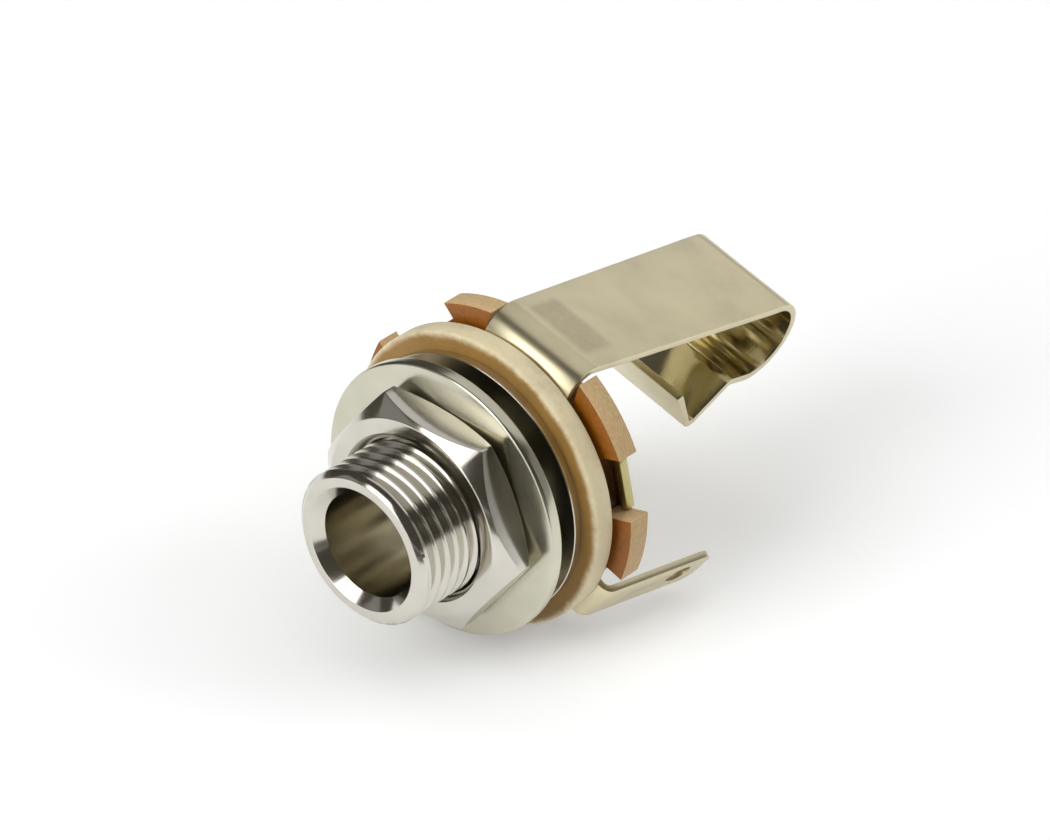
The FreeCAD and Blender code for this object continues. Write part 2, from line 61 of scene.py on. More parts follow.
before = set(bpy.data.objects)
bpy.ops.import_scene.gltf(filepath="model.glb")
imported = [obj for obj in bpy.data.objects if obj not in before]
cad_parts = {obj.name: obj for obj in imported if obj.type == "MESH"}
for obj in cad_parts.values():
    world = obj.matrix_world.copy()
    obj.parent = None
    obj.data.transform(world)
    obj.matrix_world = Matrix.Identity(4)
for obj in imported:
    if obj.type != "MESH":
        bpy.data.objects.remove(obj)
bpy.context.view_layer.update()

MM = 0.001
MERGE = 0.0005 * MM
TOUCH = 0.01 * MM
TINY = 1e-8

# Faces round the plug axis, points round a hole and an eyelet, and steps in a rounded edge
COLUMNS = 180
HOLE_POINTS = 120
EYELET_POINTS = 40
EDGE_STEPS = 5

# The photograph's camera: sensor and picture widths, and the lens in the picture's pixels
SENSOR_WIDTH = 36
PHOTO_WIDTH = 1050
LENS_PIXELS = 5000


def linear(hex_colour):
    """An sRGB hex colour as linear red, green, blue and alpha."""
    values = []
    for start in (1, 3, 5):
        value = int(hex_colour[start:start + 2], 16) / 255
        values.append(value / 12.92 if value <= 0.04045 else ((value + 0.055) / 1.055) ** 2.4)
    return (*values, 1.0)


def front_of(node):
    """Where a node's box starts along the plug axis."""
    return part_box(node)[0][1]


def back_of(node):
    """Where a node's box ends along the plug axis."""
    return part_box(node)[1][1]


def radius_of(node):
    """The outside radius of a round node."""
    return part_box(node)[1][2]


def length(label, default, description):
    """A size in metres."""
    return FloatProperty(name=label, description=description, default=default, unit="LENGTH",
                         subtype="DISTANCE", precision=5)


def turn(label, angle, description):
    """An angle, given in degrees."""
    return FloatProperty(name=label, description=description, default=radians(angle), unit="ROTATION",
                         subtype="ANGLE")


def number(label, default, description):
    """A plain factor or brightness."""
    return FloatProperty(name=label, description=description, default=default)


def colour(label, hex_colour, description):
    """A colour, given as sRGB hex."""
    return FloatVectorProperty(name=label, description=description, default=linear(hex_colour), size=4,
                               subtype="COLOR", min=0, max=1)


class BushingSizes(PropertyGroup):
    bore: length("Bore radius", 3.2 * MM, "Hole for the plug")
    bevel: length("Lead-in bevel", 0.62 * MM, "How far the mouth opens the bore")
    bevel_depth: length("Bevel depth", 0.6 * MM, "Length of the lead-in bevel")
    mouth: length("Mouth face", front_of("bushing"), "Place along the plug axis")
    chamfer: length("Chamfer", 0.35 * MM, "Length of the outer chamfer")
    chamfer_width: length("Chamfer width", 0.4125 * MM, "How far the chamfer narrows the thread")
    thread: length("Thread radius", 4.7625 * MM, "Over the crests")
    pitch: length("Thread pitch", 0.79375 * MM, "32 turns to the inch")
    thread_depth: length("Thread depth", 0.48 * MM, "Crest to root")
    collar: length("Collar", 0.02 * MM, "Plain stretch before the first groove")
    flange: length("Flange radius", radius_of("bushing"), "Outside radius")
    flange_back: length("Flange back", 0.6 * MM, "Back face")
    barrel: length("Barrel radius", 4.4 * MM, "Outside radius")
    lip: length("Lip radius", 5.2 * MM, "Outside radius")
    lip_front: length("Lip front", 4.4 * MM, "Front face")
    back: length("Back", back_of("bushing"), "Back end")


class NutSizes(PropertyGroup):
    width: length("Across flats", 12.7 * MM, "Width")
    front: length("Front", front_of("hex_nut"), "Front face")
    back: length("Back", back_of("hex_nut"), "Back face")
    hole: length("Hole radius", 4.8125 * MM, "Radius")
    recess: length("Countersink", 0.3875 * MM, "Its depth and width")
    face: length("Face radius", 6.1 * MM, "Radius where the corner bevel starts")
    front_drop: length("Front bevel", 1.0 * MM, "Its fall at a corner")
    back_drop: length("Back bevel", 0.6 * MM, "Its fall at a corner")
    clock: turn("Corner angle", 37.5, "Clock angle of one corner")


class WasherSizes(PropertyGroup):
    radius: length("Radius", radius_of("flat_washer"), "Outside radius")
    hole: length("Hole radius", 4.9625 * MM, "Radius of the hole")
    front: length("Front", front_of("flat_washer"), "Front face")
    back: length("Back", back_of("flat_washer"), "Back face")


class InsulatorSizes(PropertyGroup):
    ring_radius: length("Ring radius", radius_of("fibre_ring"), "Outside radius")
    ring_front: length("Ring front", front_of("fibre_ring"), "Front face")
    ring_back: length("Ring back", back_of("fibre_ring"), "Back face")
    hole: length("Hole radius", 4.45 * MM, "Radius of both insulators' holes")
    hub: length("Hub radius", 5.6 * MM, "Hub of the castellated washer")
    castle_front: length("Disc front", 2.45 * MM, "Front face")
    castle_back: length("Disc back", back_of("castellated_washer"), "Back face")
    root: length("Notch floor", 8.45 * MM, "Radius")
    blocks: length("Block radius", 10.05 * MM, "Outside radius")


class ContactSizes(PropertyGroup):
    sheet: length("Sheet", 0.45 * MM, "Thickness of the contact sheet")
    plate: length("Plate radius", 8.2 * MM, "Round part of both contacts")
    tip_middle: length("Tip plate", 2.225 * MM, "Middle plane")
    sleeve_middle: length("Sleeve plate", 4.175 * MM, "Middle plane")
    arm_width: length("Arm width", 6.4 * MM, "Spring's width at its bend")
    fold_width: length("Fold width", 7.15 * MM, "Spring's width from its fold on")
    lug_width: length("Lug width", 3.2 * MM, "Width of a solder lug")
    eyelet: length("Eyelet radius", 0.8 * MM, "Radius of the solder hole")
    key_width: length("Key width", 3.0 * MM, "Width of the key tab")
    arm_clock: turn("Arm angle", 18.2, "Clock angle")
    tip_lug_clock: turn("Tip lug angle", 128.0, "Clock angle")
    sleeve_lug_clock: turn("Sleeve lug angle", 232.0, "Clock angle")
    key_clock: turn("Key angle", 77.8, "Clock angle")


class FinishColours(PropertyGroup):
    nickel: colour("Nickel plate", "#D4D0C6", "Plating of the bushing and the nut")
    # The bore colour is painted shade: the bore is drawn darker and warmer than the outside plate.
    bore: colour("Bore", "#CAC4B2", "Thin, warm plating inside the bore")
    washer: colour("Washer plate", "#D0CDBB", "Plating of the flat washer")
    spring: colour("Nickel silver", "#DBD1B0", "Rolled sheet of the tip spring")
    terminal: colour("Tinned brass", "#BFB680", "Rolled sheet of the sleeve terminal")
    fibre: colour("Fibre", "#E6DAB6", "Cut edge of the cream vulcanised fibre")
    # The fibre ring's face colour is painted shade: the face is drawn darker than the rim.
    fibre_face: colour("Fibre face", "#A98141", "Varnished face of the fibre ring")
    # The laminate face colour is partly the pressed faces' own brown and partly painted shade, drawn darker
    # than the cut rim.
    laminate: colour("Laminate face", "#8F5306", "Pressed face of the castellated disc")
    # The notch colour is painted shade: the floors of the notches are drawn dark brown.
    notch: colour("Notch floor", "#5E3416", "Varnish pooled in the notches")
    cut_edge: colour("Laminate edge", "#CEB082", "Cut edge of the castellated disc")
    paper: colour("Paper", "#F6F7F8", "Floor under the jack")
    card: colour("Dark card", "#5A564C", "Card on the paper that only the metal mirrors")
    room: colour("Room", "#6B665C", "Dim room that the metal mirrors")


class StudioSettings(PropertyGroup):
    azimuth: turn("Camera azimuth", 41.015, "Camera's turn about +Z from looking along +Y")
    elevation: turn("Camera elevation", 32.363, "Camera's height angle")
    distance: length("Camera distance", 276.7386 * MM, "Camera to the plug axis at the mouth")
    shift_right: length("Aim right", 9.13254 * MM, "Aim point right of the mouth's centre")
    shift_up: length("Aim up", 7.20108 * MM, "Aim point above the mouth's centre")
    window: number("Window", 2.7, "Window in front, for metal")
    front: number("Front", 4.5, "Scrim over the window, for the rest")
    ceiling: number("Ceiling", 0.65, "Lit ceiling, for metal")
    wall: number("Back wall", 0.85, "Lit wall behind, for metal")
    dim: number("Dim walls", 0.22, "Dim walls at right and left, for metal")
    overhead: number("Overhead", 0.89, "Scrim overhead, for the rest")
    side: number("Side", 2.8, "Scrim at the right, for the rest")
    room: number("Room", 0.45, "Strength of the dim room that metal mirrors")
    lift: number("Paper lift", 0.24, "How much brighter the paper looks than it is lit")


GROUPS = (
    ("bushing", BushingSizes), ("nut", NutSizes), ("washer", WasherSizes), ("insulator", InsulatorSizes),
    ("contact", ContactSizes), ("finish", FinishColours), ("studio", StudioSettings),
)


def jack(context):
    """The jack's settings in the scene."""
    return context.scene.output_jack


class JackSettings(PropertyGroup):
    pass


for group_name, group_class in GROUPS:
    JackSettings.__annotations__[group_name] = PointerProperty(type=group_class)


# Materials

# Sockets of a Mix node that mixes colours
FACTOR, COLOUR_A, COLOUR_B, MIXED = 0, 6, 7, 2


def add_node(tree, kind, inputs=None, stops=(), **settings):
    """Adds one node with its settings, its inputs' values or links and a ramp's (position, colour) stops."""
    node = tree.nodes.new(kind)
    for name, value in settings.items():
        setattr(node, name, value)
    for socket, value in (inputs or {}).items():
        if isinstance(value, bpy.types.Node):
            value = value.outputs[0]
        if isinstance(value, bpy.types.NodeSocket):
            tree.links.new(value, node.inputs[socket])
        else:
            node.inputs[socket].default_value = value
    if stops:
        elements = node.color_ramp.elements
        while len(elements) < len(stops):
            elements.new(0.5)
        for element, (position, value) in zip(elements, stops):
            element.position = position
            element.color = value
    return node


def new_material(name):
    """An empty material, what adds a node to it, and the object coordinates for its patterns."""
    material = bpy.data.materials.new(name)
    material.use_nodes = True
    material.node_tree.nodes.clear()
    add = partial(add_node, material.node_tree)
    return material, add, add("ShaderNodeTexCoord").outputs["Object"]


def surfaced(material, add, inputs):
    """Gives the material its one shader, with those inputs, and hands it back."""
    add("ShaderNodeOutputMaterial", {"Surface": add("ShaderNodeBsdfPrincipled", inputs)})
    return material


def shade(value, factor):
    """A colour made lighter or darker."""
    return (*[min(1.0, channel * factor) for channel in value[:3]], 1.0)


def plated_metal(name, base, smooth, dull, grain, along=(1, 1, 1)):
    """Bright plate over turned or punched metal: a mirror broken by fine tool marks and handling haze."""
    haze_width, mark_width, mark_height = 2.2 * MM, 0.5 * MM, 0.01 * MM
    material, add, place = new_material(name)
    haze = add("ShaderNodeTexNoise", {"Vector": place, "Scale": 1 / haze_width, "Detail": 3.0})
    stretch = add("ShaderNodeMapping", {"Vector": place, "Scale": along})
    marks = add("ShaderNodeTexNoise", {"Vector": stretch, "Scale": 1 / mark_width, "Detail": 1.0})
    tint = add("ShaderNodeValToRGB", {"Fac": haze}, ((0.3, shade(base, 0.93)), (0.7, shade(base, 1.04))))
    rough = add("ShaderNodeMapRange", {"Value": haze, "To Min": smooth, "To Max": dull})
    bump = add("ShaderNodeBump", {"Height": marks, "Strength": grain, "Distance": mark_height})
    return surfaced(material, add, {
        "Base Color": tint, "Metallic": 1.0, "Roughness": rough, "Normal": bump})


def rolled_sheet(name, base, smooth, dull, clock, rubbed=None):
    """Rolled sheet metal: satin, with faint rolling lines along the strip and patches of handling haze.

    Where it is rubbed, between two limits on X and Y, it is darker, duller and speckled.
    """
    line_width, patch_width, speckle_width, grain_height = 0.12 * MM, 3.4 * MM, 0.25 * MM, 0.01 * MM
    rubbed_edge, rubbed_tone, rubbed_haze = 0.7 * MM, 0.76, 0.08
    material, add, place = new_material(name)
    turned = add("ShaderNodeMapping", {"Vector": place, "Rotation": (0, -clock, 0)})
    rolling = add("ShaderNodeMapping", {"Vector": turned, "Scale": (1, 0.04, 0.04)})
    lines = add("ShaderNodeTexNoise", {"Vector": rolling, "Scale": 1 / line_width, "Detail": 3.0})
    patches = add("ShaderNodeTexNoise", {
        "Vector": turned, "Scale": 1 / patch_width, "Detail": 4.0, "Roughness": 0.6})
    speckle = add("ShaderNodeTexNoise", {"Vector": turned, "Scale": 1 / speckle_width, "Detail": 2.0})
    tint = add("ShaderNodeValToRGB", {"Fac": patches}, (
        (0.34, shade(base, 0.93)), (0.5, base), (0.72, shade(base, 1.04))))
    haze = add("ShaderNodeMapRange", {"Value": patches, "To Min": dull, "To Max": smooth})
    if rubbed:
        spot = add("ShaderNodeSeparateXYZ", {0: turned}).outputs
        cover = 1.0
        for axis, (low, high) in rubbed.items():
            half = (high - low) / 2
            away = add("ShaderNodeMath", {0: spot[axis], 1: (low + high) / 2}, operation="SUBTRACT")
            away = add("ShaderNodeMath", {0: away}, operation="ABSOLUTE")
            inside = add("ShaderNodeMapRange", {
                "Value": away, "From Min": half - rubbed_edge, "From Max": half, "To Min": 1.0,
                "To Max": 0.0}, interpolation_type="SMOOTHSTEP")
            cover = add("ShaderNodeMath", {0: inside, 1: cover}, operation="MULTIPLY")
        spots = add("ShaderNodeMapRange", {"Value": speckle, "To Min": 0.2, "To Max": 1.1})
        worn = add("ShaderNodeMath", {0: cover, 1: spots}, operation="MULTIPLY")
        tint = add("ShaderNodeMix", {FACTOR: worn, COLOUR_A: tint, COLOUR_B: shade(base, rubbed_tone)},
                   data_type="RGBA").outputs[MIXED]
        haze = add("ShaderNodeMath", {0: cover, 1: rubbed_haze, 2: haze}, operation="MULTIPLY_ADD")
    both = add("ShaderNodeMath", {0: speckle, 1: 0.5, 2: lines}, operation="MULTIPLY_ADD")
    bump = add("ShaderNodeBump", {"Height": both, "Strength": 0.25, "Distance": grain_height})
    return surfaced(material, add, {
        "Base Color": tint, "Metallic": 1.0, "Roughness": haze, "Normal": bump})


def vulcanised_fibre(name, base, face, radius):
    """Vulcanised fibre: pale, waxy and felted at the punched rim; inside the rim its face is drawn a darker
    brown, which is painted shade.
    """
    felt_width, felt_height, cloud_width = 0.35 * MM, 0.03 * MM, 2.5 * MM
    varnish_ends, rim_starts, wander = -0.15 * MM, 0.35 * MM, 0.45 * MM
    white = (1.0, 1.0, 1.0, 1.0)
    material, add, place = new_material(name)
    felt = add("ShaderNodeTexNoise", {
        "Vector": place, "Scale": 1 / felt_width, "Detail": 5.0, "Roughness": 0.65})
    cloud = add("ShaderNodeTexNoise", {"Vector": place, "Scale": 1 / cloud_width, "Detail": 2.0})
    both = add("ShaderNodeMath", {0: felt, 1: 0.6, 2: cloud}, operation="MULTIPLY_ADD")
    flat = add("ShaderNodeMapping", {"Vector": place, "Scale": (1, 0, 1)})
    out = add("ShaderNodeVectorMath", {0: flat}, operation="LENGTH").outputs["Value"]
    out = add("ShaderNodeMath", {0: both, 1: wander, 2: out}, operation="MULTIPLY_ADD")
    # Painted shade: nearer the middle than the rim, the face takes the darker face colour.
    bare = add("ShaderNodeMapRange", {
        "Value": out, "From Min": radius + varnish_ends, "From Max": radius + rim_starts},
        interpolation_type="SMOOTHSTEP")
    own = add("ShaderNodeMix", {FACTOR: bare, COLOUR_A: face, COLOUR_B: base}, data_type="RGBA")
    grain = add("ShaderNodeValToRGB", {"Fac": both}, (
        (0.55, shade(white, 0.8)), (0.8, shade(white, 0.94)), (1.0, white)))
    tint = add("ShaderNodeMix", {FACTOR: 1.0, COLOUR_A: own.outputs[MIXED], COLOUR_B: grain},
               data_type="RGBA", blend_type="MULTIPLY").outputs[MIXED]
    bump = add("ShaderNodeBump", {"Height": felt, "Strength": 0.5, "Distance": felt_height})
    return surfaced(material, add, {
        "Base Color": tint, "Roughness": 0.5, "Normal": bump, "Subsurface Weight": 0.35,
        "Subsurface Radius": (1.0, 0.62, 0.28), "Subsurface Scale": 0.8 * MM})


def phenolic_laminate(name, base, rough, lift):
    """Paper-filled phenolic: brown and glossy where pressed, paler and fibrous where cut; the pressed faces'
    darker brown is partly their own colour and partly painted shade.
    """
    fibre_width, fibre_height = 0.22 * MM, 0.04 * MM
    material, add, place = new_material(name)
    fibres = add("ShaderNodeMapping", {"Vector": place, "Scale": (1, 3.0, 1)})
    fine = add("ShaderNodeTexNoise", {
        "Vector": fibres, "Scale": 1 / fibre_width, "Detail": 5.0, "Roughness": 0.7})
    tint = add("ShaderNodeValToRGB", {"Fac": fine}, (
        (0.3, shade(base, 0.72)), (0.5, base), (0.72, shade(base, 1.25))))
    bump = add("ShaderNodeBump", {"Height": fine, "Strength": lift, "Distance": fibre_height})
    return surfaced(material, add, {
        "Base Color": tint, "Roughness": rough, "Normal": bump, "Subsurface Weight": 0.2,
        "Subsurface Radius": (1.0, 0.45, 0.15), "Subsurface Scale": 0.5 * MM})


def material_named(name):
    """The finished material of that name, made the first time it is asked for."""
    found = bpy.data.materials.get(name)
    if found:
        return found
    settings = jack(bpy.context)
    finish, contact = settings.finish, settings.contact
    rubbed = {"X": (-2.7 * MM, 2.4 * MM), "Y": (4.1 * MM, 7.3 * MM)}
    # In the bore the plating is drawn darker and warmer, as painted shade; the spring's inner side is a
    # clearer mirror, drawn darker as painted shade
    makers = {
        "nickel_plated_brass": (plated_metal, dict(base=finish.nickel, smooth=0.12, dull=0.19, grain=0.03)),
        "thin_nickel_in_bore": (plated_metal, dict(
            base=finish.bore, smooth=0.16, dull=0.22, grain=0.02, along=(1, 0.1, 1))),
        "plated_steel_washer": (plated_metal, dict(base=finish.washer, smooth=0.18, dull=0.28, grain=0.04)),
        "rolled_nickel_silver": (rolled_sheet, dict(
            base=finish.spring, smooth=0.27, dull=0.36, clock=contact.arm_clock, rubbed=rubbed)),
        # Painted shade: the spring's inner side is drawn darker than its outer side, beside its smoother
        # finish.
        "burnished_nickel_silver": (rolled_sheet, dict(
            base=shade(finish.spring, 0.92), smooth=0.1, dull=0.16, clock=contact.arm_clock)),
        "tinned_brass_sheet": (rolled_sheet, dict(
            base=finish.terminal, smooth=0.25, dull=0.38, clock=contact.key_clock)),
        "vulcanised_fibre": (vulcanised_fibre, dict(
            base=finish.fibre, face=finish.fibre_face, radius=settings.insulator.ring_radius)),
        "phenolic_pressed_face": (phenolic_laminate, dict(base=finish.laminate, rough=0.4, lift=0.25)),
        "phenolic_notch_floor": (phenolic_laminate, dict(base=finish.notch, rough=0.35, lift=0.2)),
        "phenolic_cut_edge": (phenolic_laminate, dict(base=finish.cut_edge, rough=0.65, lift=0.7)),
    }
    maker, values = makers[name]
    return maker(name, **values)


# Shapes

def add_object(name, data):
    """An object of that name and data, in the scene."""
    added = bpy.data.objects.new(name, data)
    bpy.context.scene.collection.objects.link(added)
    return added


def evaluated_mesh(carrier):
    """The plain mesh that a curve or modifier makes; the object that carried it is removed."""
    bpy.context.view_layer.update()
    mesh = bpy.data.meshes.new_from_object(carrier.evaluated_get(bpy.context.evaluated_depsgraph_get()))
    carrier.modifiers.clear()
    bpy.data.objects.remove(carrier)
    return mesh


def soften(corners, steps=3):
    """A closed outline in which each corner (across, along, rounding) is replaced by a small arc."""
    points = []
    count = len(corners)
    for index, (across, along, rounding) in enumerate(corners):
        here = Vector((across, along))
        if rounding <= 0:
            points.append(here)
            continue
        before = Vector(corners[index - 1][:2]) - here
        after = Vector(corners[(index + 1) % count][:2]) - here
        half = before.angle(after) / 2
        reach = min(rounding / tan(half), before.length * 0.49, after.length * 0.49)
        radius = reach * tan(half)
        middle = here + (before.normalized() + after.normalized()).normalized() * (radius / sin(half))
        start = here + before.normalized() * reach - middle
        sweep = start.angle_signed(here + after.normalized() * reach - middle)
        for step in range(steps + 1):
            arm = start.copy()
            arm.rotate(Matrix.Rotation(-sweep * step / steps, 2))
            points.append(middle + arm)
    return points


def ring_mesh(bm, profiles, clocks, closed=True):
    """Joins one profile for each clock angle into a surface round the plug axis."""
    rows = [[bm.verts.new((out * sin(clock), along, out * cos(clock))) for out, along in profile]
            for profile, clock in zip(profiles, clocks)]
    for index, row in enumerate(rows):
        following = rows[(index + 1) % len(rows)]
        last = len(row) if closed else len(row) - 1
        for place in range(last):
            other = (place + 1) % len(row)
            bm.faces.new((row[place], row[other], following[other], following[place]))


def turn_profile(bm, profile, columns=COLUMNS, closed=True):
    """Turns one profile round the plug axis."""
    clocks = [tau * index / columns for index in range(columns)]
    ring_mesh(bm, [profile] * columns, clocks, closed)


def turned_ring(corners, name, material, node):
    """Turns a ring with softened edges, and lets it stand for a node."""
    bm = bmesh.new()
    turn_profile(bm, soften(corners, EDGE_STEPS))
    finish_piece(bm, name, [material], node)


def within(face, radius):
    """Whether the whole face lies nearer to the plug axis than a radius."""
    return all(hypot(vert.co.x, vert.co.z) < radius for vert in face.verts)


def finish_piece(bm, name, materials, node, sharp=40.0, body="root", pick=None):
    """Turns the mesh into a smooth-shaded object that stands for a node of the frame."""
    bmesh.ops.remove_doubles(bm, verts=bm.verts, dist=MERGE)
    bmesh.ops.recalc_face_normals(bm, faces=bm.faces)
    if pick:
        bm.normal_update()
        for face in bm.faces:
            face.material_index = pick(face)
    mesh = bpy.data.meshes.new(name)
    bm.to_mesh(mesh)
    bm.free()
    mesh.shade_smooth()
    mesh.set_sharp_from_angle(angle=radians(sharp))
    piece = add_object(name, mesh)
    for material in materials:
        mesh.materials.append(material_named(material))
    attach(piece, body)
    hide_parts(node)
    return piece


def thread_tree():
    """A Geometry Nodes tree that rolls a right-hand thread round the plug axis."""
    tree = bpy.data.node_groups.new("RolledThread", "GeometryNodeTree")
    add = partial(add_node, tree)
    face = tree.interface
    face.new_socket("Geometry", in_out="INPUT", socket_type="NodeSocketGeometry")
    lengths = ("Front", "Back", "Crest", "Depth", "Pitch", "Collar")
    for name in lengths:
        face.new_socket(name, in_out="INPUT", socket_type="NodeSocketFloat").subtype = "DISTANCE"
    for name in ("Turns", "Columns", "Rows"):
        face.new_socket(name, in_out="INPUT", socket_type="NodeSocketInt")
    face.new_socket("Material", in_out="INPUT", socket_type="NodeSocketMaterial")
    face.new_socket("Geometry", in_out="OUTPUT", socket_type="NodeSocketGeometry")
    given = add("NodeGroupInput").outputs
    grid = add("GeometryNodeMeshGrid", {
        "Size X": 1.0, "Size Y": 1.0, "Vertices X": given["Columns"], "Vertices Y": given["Rows"]})
    where = add("ShaderNodeSeparateXYZ", {0: add("GeometryNodeInputPosition")}).outputs
    values = {name: given[name] for name in (*lengths, "Turns")}
    values.update(X=where["X"], Y=where["Y"])

    # The grid's columns go once round and its rows climb with the helix. The groove fades in behind the
    # mouth and out before the flange. Each row is a result, its operation and its terms.
    formulas = (
        ("round", "ADD", "X", 0.5),
        ("climbed", "ADD", "Y", 0.5),
        ("climbed", "MULTIPLY", "climbed", "Turns"),
        ("flank", "FRACT", "climbed"),
        ("flank", "MULTIPLY_ADD", "flank", 2.0, -1.0),
        ("flank", "ABSOLUTE", "flank"),
        ("groove", "LINEAR", "flank", 0.12, 0.82, 1.0, 0.0),
        ("groove", "MULTIPLY", "groove", "Depth"),
        ("along", "SUBTRACT", "round", 1.0),
        ("along", "ADD", "climbed", "along"),
        ("along", "MULTIPLY_ADD", "along", "Pitch", "Front"),
        ("along", "MAXIMUM", "along", "Front"),
        ("along", "MINIMUM", "along", "Back"),
        ("starts", "ADD", "Front", "Collar"),
        ("deep", "MULTIPLY", "Pitch", 0.2),
        ("deep", "ADD", "starts", "deep"),
        ("fade_in", "SMOOTHSTEP", "along", "starts", "deep", 0.0, 1.0),
        ("rises", "SUBTRACT", "Back", "Pitch"),
        ("ends", "MULTIPLY_ADD", "Pitch", -0.3, "Back"),
        ("fade_out", "SMOOTHSTEP", "along", "rises", "ends", 1.0, 0.0),
        ("fade", "MULTIPLY", "fade_in", "fade_out"),
        ("groove", "MULTIPLY", "groove", "fade"),
        ("radius", "SUBTRACT", "Crest", "groove"),
        ("clock", "MULTIPLY", "round", tau),
        ("sine", "SINE", "clock"),
        ("cosine", "COSINE", "clock"),
        ("across", "MULTIPLY", "radius", "sine"),
        ("up", "MULTIPLY", "radius", "cosine"),
    )
    for name, operation, *terms in formulas:
        inputs = {index: values.get(term, term) for index, term in enumerate(terms)}
        if operation in ("LINEAR", "SMOOTHSTEP"):
            values[name] = add("ShaderNodeMapRange", inputs, interpolation_type=operation)
        else:
            values[name] = add("ShaderNodeMath", inputs, operation=operation)

    place = add("ShaderNodeCombineXYZ", {"X": values["across"], "Y": values["along"], "Z": values["up"]})
    shaped = add("GeometryNodeSetPosition", {"Geometry": grid, "Position": place})
    merged = add("GeometryNodeMergeByDistance", {"Geometry": shaped, "Distance": MERGE})
    real = add("GeometryNodeRealizeInstances", {"Geometry": merged})
    coated = add("GeometryNodeSetMaterial", {"Geometry": real, "Material": given["Material"]})
    add("NodeGroupOutput", {"Geometry": coated})
    return tree


def thread_mesh(sizes):
    """The thread as a plain mesh, made by the tree and then read off it."""
    rows_each_turn = 24
    tree = thread_tree()
    carrier = add_object("thread_carrier", bpy.data.meshes.new("thread_carrier"))
    modifier = carrier.modifiers.new("Thread", "NODES")
    modifier.node_group = tree
    front = sizes.mouth + sizes.chamfer
    turns = ceil(-front / sizes.pitch) + 1
    values = {
        "Front": front, "Back": 0.0, "Crest": sizes.thread, "Depth": sizes.thread_depth,
        "Pitch": sizes.pitch, "Collar": sizes.collar, "Turns": turns,
        "Columns": COLUMNS + 1, "Rows": rows_each_turn * turns + 1,
        "Material": material_named("nickel_plated_brass"),
    }
    for item in tree.interface.items_tree:
        if item.in_out == "INPUT" and item.name in values:
            modifier[item.identifier] = values[item.name]
    return evaluated_mesh(carrier)


class JACK_OT_bushing(Operator):
    """Turned, nickel-plated bushing with its rolled thread and rear lip"""
    bl_idname = "jack.bushing"
    bl_label = "Bushing"

    def execute(self, context):
        sizes = jack(context).bushing
        fine, bevel_end, mouth_inside, mouth_outside, lip_end = [
            rounding * MM for rounding in (0.06, 0.05, 0.08, 0.25, 0.3)]
        corners = [
            (sizes.thread, sizes.mouth + sizes.chamfer, 0),
            (sizes.thread - sizes.chamfer_width, sizes.mouth, mouth_outside),
            (sizes.bore + sizes.bevel, sizes.mouth, mouth_inside),
            (sizes.bore, sizes.mouth + sizes.bevel_depth, bevel_end),
            (sizes.bore, sizes.back, lip_end), (sizes.lip, sizes.back, lip_end),
            (sizes.lip, sizes.lip_front, fine), (sizes.barrel, sizes.lip_front, 0),
            (sizes.barrel, sizes.flange_back, 0), (sizes.flange, sizes.flange_back, fine),
            (sizes.flange, 0, fine), (sizes.thread, 0, 0),
        ]
        bm = bmesh.new()
        turn_profile(bm, soften(corners, EDGE_STEPS), closed=False)
        bm.from_mesh(thread_mesh(sizes))
        finish_piece(bm, "bushing_turned", ["nickel_plated_brass", "thin_nickel_in_bore"], "bushing",
                     sharp=50.0, pick=lambda face: int(within(face, sizes.bore + TOUCH)))
        return {"FINISHED"}


class JACK_OT_nut(Operator):
    """Hexagon nut with bevelled corners and a countersunk hole"""
    bl_idname = "jack.nut"
    bl_label = "Hexagon Nut"

    def execute(self, context):
        sizes = jack(context).nut
        corner_rounding, face_rounding, rim_rounding, hole_rounding = [
            rounding * MM for rounding in (0.22, 0.25, 0.09, 0.05)]
        corner_steps, flat_steps, profile_steps = 3, 18, 4
        side_angle, half_side = pi / 3, pi / 6
        flat = sizes.width / 2
        corner = flat / cos(half_side)
        arm = (flat - corner_rounding) / cos(half_side)
        edge = atan2(corner_rounding / 2, arm + corner_rounding * cos(half_side))
        offsets = [edge * step / corner_steps for step in range(-corner_steps, corner_steps + 1)]
        inner = half_side - edge
        offsets += [edge + 2 * inner * step / flat_steps for step in range(1, flat_steps)]
        clocks = sorted(sizes.clock + side * side_angle + offset for side in range(6) for offset in offsets)
        profiles = []
        for clock in clocks:
            away = (clock - sizes.clock + half_side) % side_angle - half_side
            if abs(away) <= edge + TINY:
                across = corner_rounding ** 2 - (arm * sin(away)) ** 2
                reach = arm * cos(away) + sqrt(max(0.0, across))
            else:
                reach = flat / cos(half_side - abs(away))
            climb = (reach - sizes.face) / (corner - sizes.face)
            profiles.append(soften([
                (sizes.hole, sizes.back - sizes.recess, 0),
                (sizes.hole + sizes.recess, sizes.back, hole_rounding),
                (sizes.face, sizes.back, face_rounding),
                (reach, sizes.back - sizes.back_drop * climb, rim_rounding),
                (reach, sizes.front + sizes.front_drop * climb, rim_rounding),
                (sizes.face, sizes.front, face_rounding),
                (sizes.hole + sizes.recess, sizes.front, hole_rounding),
                (sizes.hole, sizes.front + sizes.recess, 0),
            ], profile_steps))
        bm = bmesh.new()
        ring_mesh(bm, profiles, clocks)
        finish_piece(bm, "hex_nut_bevelled", ["nickel_plated_brass"], "hex_nut", sharp=55.0)
        return {"FINISHED"}


class JACK_OT_washer(Operator):
    """Flat plated washer behind the nut"""
    bl_idname = "jack.washer"
    bl_label = "Flat Washer"

    def execute(self, context):
        sizes = jack(context).washer
        inside, outside = 0.08 * MM, 0.2 * MM
        turned_ring([
            (sizes.hole, sizes.front, inside), (sizes.hole, sizes.back, inside),
            (sizes.radius, sizes.back, outside), (sizes.radius, sizes.front, outside),
        ], "flat_washer_plated", "plated_steel_washer", "flat_washer")
        return {"FINISHED"}


